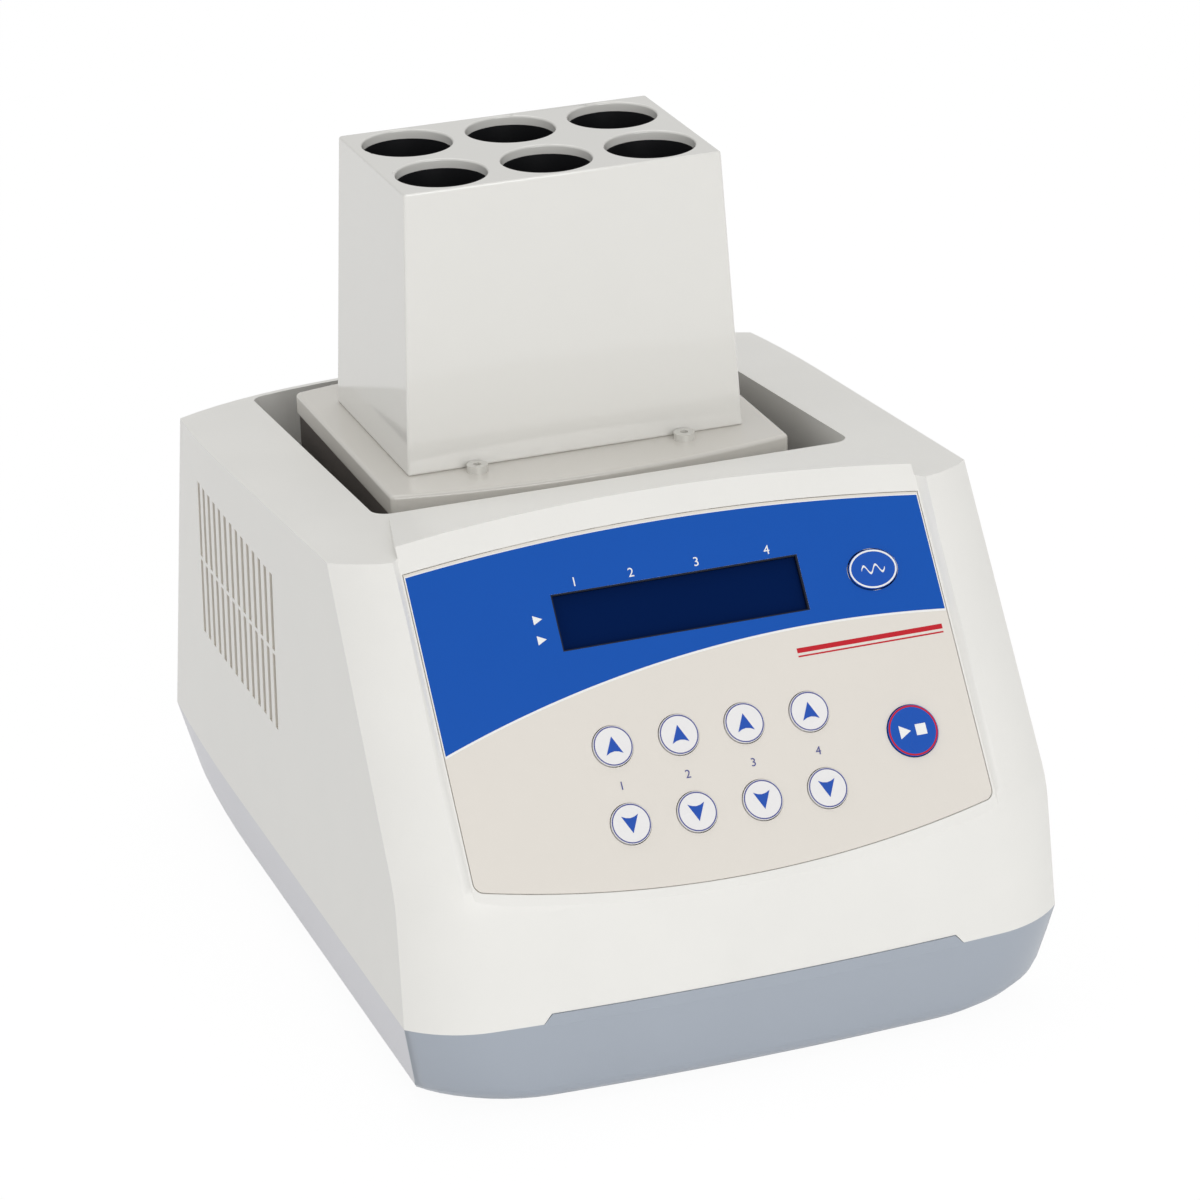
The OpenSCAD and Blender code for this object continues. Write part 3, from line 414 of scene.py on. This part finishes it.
# a place on the panel: x across, w up the slope, lift out of it
def onPanel(x, w, lift=0.0):
    c, s = cos(panel["tilt"]), sin(panel["tilt"])
    return Vector((x, panel["y"] + w * c - lift * s, panel["z"] + w * s + lift * c)) * mm


def ovalPoints(centre, rx, ry, count=64):
    steps = [2 * pi * i / count for i in range(count)]
    return [(centre[0] + rx * cos(t), centre[1] + ry * sin(t)) for t in steps]


# an arc from -half to half, its ends and its middle at the given heights
def bowPoints(half, ends, middle, count=24):
    rise = middle - ends
    radius = (half * half + rise * rise) / (2 * abs(rise))
    reach = asin(half / radius)
    side = 1 if rise > 0 else -1
    turns = [reach * i / count for i in range(-count, count + 1)]
    return [(radius * sin(t), middle - side * radius * (1 - cos(t))) for t in turns]


def boxPoints(centre, width, height):
    x, y = centre
    corners = ((-1, -1), (1, -1), (1, 1), (-1, 1))
    return [(x + sx * width / 2, y + sy * height / 2) for sx, sy in corners]


# a thin sheet between two lifts: the first outline is its rim, the others are holes
def flatPiece(name, outlines, low, high, material, body="housing"):
    curve = bpy.data.curves.new(name, "CURVE")
    curve.dimensions = "2D"
    curve.fill_mode = "BOTH"
    for outline in outlines:
        spline = curve.splines.new("POLY")
        spline.points.add(len(outline) - 1)
        for point, (x, w) in zip(spline.points, outline):
            point.co = (x * mm, w * mm, 0, 1)
        spline.use_cyclic_u = True
    curve.extrude = (high - low) / 2 * mm
    piece = bpy.data.objects.new(name, curve)
    bpy.context.scene.collection.objects.link(piece)
    piece.location = onPanel(0, 0, (low + high) / 2)
    piece.rotation_euler = panelTurn
    settle(piece, name, body, material)


# the arc under the field is part of a circle, highest at bowX
field = {
    "half": 86.4, "topEnds": 48.6, "topMiddle": 53.9,
    "bowRadius": 398, "bowX": 43.5, "bowTop": 12.6, "bowSteps": 48,
    "line": 0.3, "lowLine": 0.7, "ink": 0.04,
}
# the rim starts just inside the window's hole in the film and stands a little proud of it
display = {
    "centre": (0, 26.5), "width": 83.2, "height": 18.6,
    "rimRoom": 0.04, "rimWide": 0.8, "rimLow": -1.85, "rimHigh": 0.05,
}
# low is the underside of the hidden flange, lip its reach beyond the key
# fall and inward are the two steps of the rounded rim, filmRoom the gap round the oval key
keys = {
    "columns": (-33, -11, 11, 33), "upRow": -15.1, "downRow": -40.2, "radius": 6.5,
    "start": (65.5, -27.0), "startRadius": 8.4,
    "pulse": (65.5, 26.8), "pulseWide": 8.2, "pulseHigh": 6.5, "filmRoom": 0.45,
    "low": -5.6, "flange": 1.1, "lip": 1.5, "top": 0.7,
    "sides": 72, "smooth": 40, "outward": 0.99,
    "fall": (0.14, 0.06), "inward": (0.06, 0.12), "thinRing": 0.42, "wideRing": 0.55,
}


# the coloured field: a bow at the top, plain sides, and a long arc that rises to the right
def fieldOutline(grow, growLow):
    half = field["half"] + grow
    top = bowPoints(half, field["topEnds"] + grow, field["topMiddle"] + grow)
    low = []
    for i in range(field["bowSteps"] + 1):
        x = -half + 2 * half * i / field["bowSteps"]
        reach = sqrt(field["bowRadius"] ** 2 - (x - field["bowX"]) ** 2)
        low.append((x, field["bowTop"] - (field["bowRadius"] - reach) - growLow))
    return low + top[::-1]


def displayOutline(room):
    return boxPoints(display["centre"], display["width"] - room, display["height"] - room)


windowHole = displayOutline(0)
pulseHole = ovalPoints(keys["pulse"], keys["pulseWide"] + keys["filmRoom"],
                       keys["pulseHigh"] + keys["filmRoom"])
flatPiece("field_line", [fieldOutline(field["line"], field["lowLine"]), windowHole, pulseHole],
          0, field["ink"], finish["filmWhite"])
flatPiece("field_blue", [fieldOutline(0, 0), windowHole, pulseHole],
          field["ink"], 2 * field["ink"], finish["fieldBlue"])
flatPiece("display_rim",
          [displayOutline(display["rimRoom"]), displayOutline(display["rimWide"])],
          display["rimLow"], display["rimHigh"], finish["displayEdge"])
print("panel field laid")


def facesOut(centre, normal):
    return normal.dot(panelOut) > keys["outward"]


def pushOut(distance):
    bpy.ops.mesh.extrude_region_move(
        TRANSFORM_OT_translate={"value": panelOut * distance * mm})


# a key with its hidden flange, a raised face with a rounded rim and a printed ring
def makeKey(name, node, body, centre, rx, ry, cap, ring, ringWide):
    depth = keys["flange"]
    deselect()
    bpy.ops.mesh.primitive_cylinder_add(
        vertices=keys["sides"], radius=mm, depth=depth * mm,
        location=onPanel(*centre, keys["low"] + depth / 2), rotation=panelTurn)
    piece = bpy.context.object
    piece.scale = (rx + keys["lip"], ry + keys["lip"], 1)
    piece = settle(piece, name, body, cap)
    piece.data.materials.append(ring)
    selectFaces(piece, facesOut)
    bpy.ops.mesh.inset(thickness=keys["lip"] * mm)
    rise = keys["top"] - keys["low"] - depth
    pushOut(rise - sum(keys["fall"]))
    for fall, inward in zip(keys["fall"], keys["inward"]):
        pushOut(fall)
        bpy.ops.mesh.inset(thickness=inward * mm)
    bpy.ops.mesh.inset(thickness=ringWide * mm)
    bpy.ops.mesh.select_more()
    bpy.ops.object.mode_set(mode="OBJECT")
    flat = [face for face in piece.data.polygons if face.select]
    middle = max(flat, key=lambda face: face.area)
    for face in flat:
        if face.index != middle.index:
            face.material_index = 1
    activate(piece)
    bpy.ops.object.shade_smooth_by_angle(angle=radians(keys["smooth"]))
    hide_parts(node)


# a sheet of ink on a key's face
def printed(name, outlines, body, material):
    flatPiece(name, outlines, keys["top"], keys["top"] + field["ink"], material, body)


# one half of the pointer, from its tip to the hollow in its base
arrow = {"tip": 3.1, "corner": (2.8, -2.7), "inner": (1.4, -2.0), "hollow": -1.75}


def arrowPoints(centre, way):
    x, w = centre
    cornerX, cornerW = arrow["corner"]
    innerX, innerW = arrow["inner"]
    outline = [(0, arrow["tip"]), (-cornerX, cornerW), (-innerX, innerW), (0, arrow["hollow"]),
               (innerX, innerW), (cornerX, cornerW)]
    return [(x + px * way, w + py * way) for px, py in outline]


for i, x in enumerate(keys["columns"]):
    for side, row, way in (("up", keys["upRow"], 1), ("down", keys["downRow"], -1)):
        label = "%s_%d" % (side, i + 1)
        makeKey("cap_" + label, "key_" + label, label, (x, row), keys["radius"],
                keys["radius"], finish["keyWhite"], finish["inkLine"], keys["thinRing"])
        printed("arrow_" + label, [arrowPoints((x, row), way)], label, finish["inkBlue"])
makeKey("cap_start", "key_start", "start", keys["start"], keys["startRadius"],
        keys["startRadius"], finish["keyBlue"], finish["inkRed"], keys["wideRing"])
makeKey("cap_pulse", "key_pulse", "pulse", keys["pulse"], keys["pulseWide"],
        keys["pulseHigh"], finish["keyBlue"], finish["filmWhite"], keys["wideRing"])
print("keys made")

# rows are heights up the slope, lift is in thicknesses of ink, and drop is how far a stripe's
# middle lies under its place
marks = {
    "columns": (-33, -14, 8, 32), "columnRow": 38.6, "columnSize": 4.2, "lift": 2.5,
    "keyRow": -28.0, "keySize": 3.8,
    "pointerX": -47.5, "pointerRows": (28.6, 22.0), "pointer": 1.5,
    "stripe": (59, 4.8), "stripeLong": 50,
    "stripeWide": {"drop": 0, "high": 1.6}, "stripeThin": {"drop": 1.9, "high": 0.5},
}


def numeral(name, text, x, w, size, material):
    deselect()
    bpy.ops.object.text_add(location=onPanel(x, w, marks["lift"] * field["ink"]),
                            rotation=panelTurn)
    piece = bpy.context.object
    piece.data.body = text
    piece.data.align_x = "CENTER"
    piece.data.align_y = "CENTER"
    piece.data.size = size * mm
    piece.data.extrude = field["ink"] / 2 * mm
    settle(piece, name, "housing", material)


def pointer(name, x, w, size):
    flatPiece(name, [[(x - size, w - size), (x + size, w), (x - size, w + size)]],
              2 * field["ink"], 3 * field["ink"], finish["filmWhite"])


def stripe(name, drop, high):
    x, w = marks["stripe"]
    flatPiece(name, [boxPoints((x, w - drop), marks["stripeLong"], high)],
              0, field["ink"], finish["inkRed"])


for i, x in enumerate(marks["columns"]):
    numeral("column_mark_%d" % (i + 1), str(i + 1), x, marks["columnRow"],
            marks["columnSize"], finish["filmWhite"])
for i, x in enumerate(keys["columns"]):
    numeral("key_mark_%d" % (i + 1), str(i + 1), x, marks["keyRow"],
            marks["keySize"], finish["inkLine"])
for i, w in enumerate(marks["pointerRows"]):
    pointer("row_mark_%d" % (i + 1), marks["pointerX"], w, marks["pointer"])
stripe("stripe_wide", **marks["stripeWide"])
stripe("stripe_thin", **marks["stripeThin"])

# play and stop on the round key, a wave on the oval one, all measured from the key's middle
signs = {
    "playX": (-4.6, -0.8), "playHigh": 2.2, "stopX": 2.7, "stopWide": 3.6,
    "waveHalf": 4, "waveHigh": 1.3, "waveTurns": 2, "waveSteps": 32, "waveThick": 0.35,
}


def playPoints(centre):
    x, w = centre
    back, tip = signs["playX"]
    high = signs["playHigh"]
    return [(x + back, w - high), (x + tip, w), (x + back, w + high)]


def stopPoints(centre):
    x, w = centre
    return boxPoints((x + signs["stopX"], w), signs["stopWide"], signs["stopWide"])


def wavePoints(centre):
    x, w = centre
    half, steps, thick = signs["waveHalf"], signs["waveSteps"], signs["waveThick"]
    wave = [(x - half + 2 * half * i / steps,
             w + signs["waveHigh"] * sin(2 * signs["waveTurns"] * pi * i / steps))
            for i in range(steps + 1)]
    return ([(px, py + thick) for px, py in wave]
            + [(px, py - thick) for px, py in wave[::-1]])


printed("start_sign", [playPoints(keys["start"])], "start", finish["filmWhite"])
printed("stop_sign", [stopPoints(keys["start"])], "start", finish["filmWhite"])
printed("pulse_sign", [wavePoints(keys["pulse"])], "pulse", finish["filmWhite"])
print("marks printed")

view = {
    "target": (0.020, 0.039, 0.087), "distance": 1.6641, "lens": 144.64, "sensor": 36,
    "turn": radians(-19.272), "height": radians(22.558), "roll": radians(-1.856),
}


def addCamera():
    turn, height, roll = view["turn"], view["height"], view["roll"]
    back = Vector((sin(turn) * cos(height), -cos(turn) * cos(height), sin(height)))
    right = Vector((cos(turn), sin(turn), 0))
    up = back.cross(right)
    axes = (right * cos(roll) + up * sin(roll), up * cos(roll) - right * sin(roll), back)
    camera = bpy.data.objects.new("camera", bpy.data.cameras.new("camera"))
    camera.data.lens = view["lens"]
    camera.data.sensor_width = view["sensor"]
    place = Matrix.Translation(Vector(view["target"]) + back * view["distance"])
    camera.matrix_world = place @ Matrix(axes).transposed().to_4x4()
    bpy.context.scene.collection.objects.link(camera)
    bpy.context.scene.camera = camera


# glow is how white the floor looks, to the camera and in gloss; the rest keeps the shadow
backdrop = {"size": 12, "colour": (0.86, 0.86, 0.86, 1), "rough": 0.9, "glow": 1.03,
            "glowShare": 0.92, "skyColour": (1, 1, 1, 1), "skyStrength": 0.58}


def addFloor():
    deselect()
    bpy.ops.mesh.primitive_plane_add(size=backdrop["size"], location=(0, 0, 0))
    floor = bpy.context.object
    floor.name = "floor"
    material = bpy.data.materials.new("floorWhite")
    material.use_nodes = True
    tree = material.node_tree
    shader = tree.nodes["Principled BSDF"]
    shader.inputs["Base Color"].default_value = backdrop["colour"]
    shader.inputs["Roughness"].default_value = backdrop["rough"]
    glow = tree.nodes.new("ShaderNodeEmission")
    glow.inputs["Strength"].default_value = backdrop["glow"]
    path = tree.nodes.new("ShaderNodeLightPath")
    mirrored = tree.nodes.new("ShaderNodeMath")
    mirrored.operation = "ADD"
    tree.links.new(path.outputs["Is Glossy Ray"], mirrored.inputs[0])
    tree.links.new(path.outputs["Is Transmission Ray"], mirrored.inputs[1])
    seen = tree.nodes.new("ShaderNodeMath")
    seen.operation = "ADD"
    seen.use_clamp = True
    tree.links.new(mirrored.outputs[0], seen.inputs[0])
    tree.links.new(path.outputs["Is Camera Ray"], seen.inputs[1])
    share = tree.nodes.new("ShaderNodeMath")
    share.operation = "MULTIPLY"
    share.inputs[1].default_value = backdrop["glowShare"]
    tree.links.new(seen.outputs[0], share.inputs[0])
    mix = tree.nodes.new("ShaderNodeMixShader")
    tree.links.new(share.outputs[0], mix.inputs["Fac"])
    tree.links.new(shader.outputs["BSDF"], mix.inputs[1])
    tree.links.new(glow.outputs["Emission"], mix.inputs[2])
    tree.links.new(mix.outputs["Shader"], tree.nodes["Material Output"].inputs["Surface"])
    floor.data.materials.append(material)


def addWorld():
    world = bpy.data.worlds.new("studio")
    bpy.context.scene.world = world
    world.use_nodes = True
    sky = world.node_tree.nodes["Background"]
    sky.inputs["Color"].default_value = backdrop["skyColour"]
    sky.inputs["Strength"].default_value = backdrop["skyStrength"]


lamps = {
    "key": {"at": (0.10, -2.4, 0.80), "size": 1.5, "power": 20},
    "fill": {"at": (-1.9, -0.1, 1.0), "size": 1.4, "power": 2},
    "top": {"at": (0.1, 0.7, 2.2), "size": 1.5, "power": 9},
}
lampAim = (0, 0, 0.1)


def addLamp(name, at, size, power):
    data = bpy.data.lights.new(name, "AREA")
    data.size = size
    data.energy = power
    lamp = bpy.data.objects.new(name, data)
    bpy.context.scene.collection.objects.link(lamp)
    aim = Vector(lampAim) - Vector(at)
    turn = aim.to_track_quat("-Z", "Y").to_matrix().to_4x4()
    lamp.matrix_world = Matrix.Translation(at) @ turn


addCamera()
addFloor()
addWorld()
for name, values in lamps.items():
    addLamp(name, **values)
bpy.context.scene.view_settings.view_transform = "Standard"
print("camera, floor and light set")
